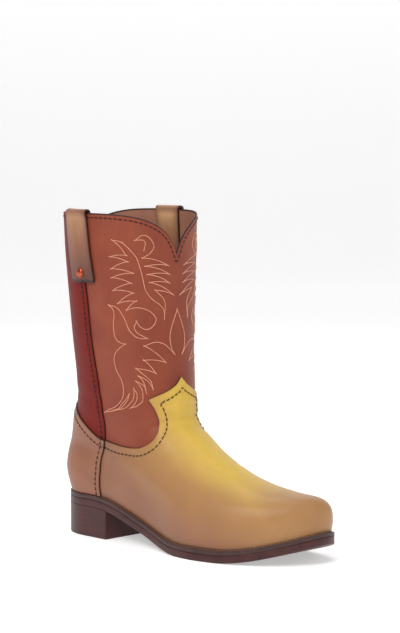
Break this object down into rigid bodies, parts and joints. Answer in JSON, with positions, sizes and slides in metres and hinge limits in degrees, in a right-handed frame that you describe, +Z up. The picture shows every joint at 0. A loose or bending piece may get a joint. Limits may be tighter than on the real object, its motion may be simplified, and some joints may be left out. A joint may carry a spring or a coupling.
{
  "type": "roper boot",
  "caption": "Right-foot roper boot: smooth round toe, low block heel, scalloped collar and two riveted pull straps.",
  "frame": {"origin": "middle of the heel's flat base, on the floor", "axes": "+X points to the toe along the sole, +Z up, -Y to the outer side of the right foot"},
  "size_m": [0.3039, 0.1304, 0.3181],
  "materials": {
    "shaft_leather": "semi-gloss red-brown leather",
    "back_leather": "semi-gloss dark red leather",
    "vamp_leather": "burnished golden tan leather",
    "counter_leather": "semi-gloss brown leather",
    "strap_leather": "satin brown leather",
    "insole_leather": "matt tan leather",
    "sole_leather": "waxed dark brown sole leather",
    "welt_leather": "waxed dark brown leather",
    "copper": "worn copper"
  },
  "bodies": {
    "root": {"upper": "shaft_leather", "back_panel": "back_leather", "vamp": "vamp_leather", "counter": "counter_leather", "pull_strap_outer": "strap_leather", "pull_strap_inner": "strap_leather", "rivet_outer": "copper", "rivet_inner": "copper", "insole": "insole_leather", "welt": "welt_leather", "outsole": "sole_leather", "heel": "sole_leather"}
  },
  "joints": []
}
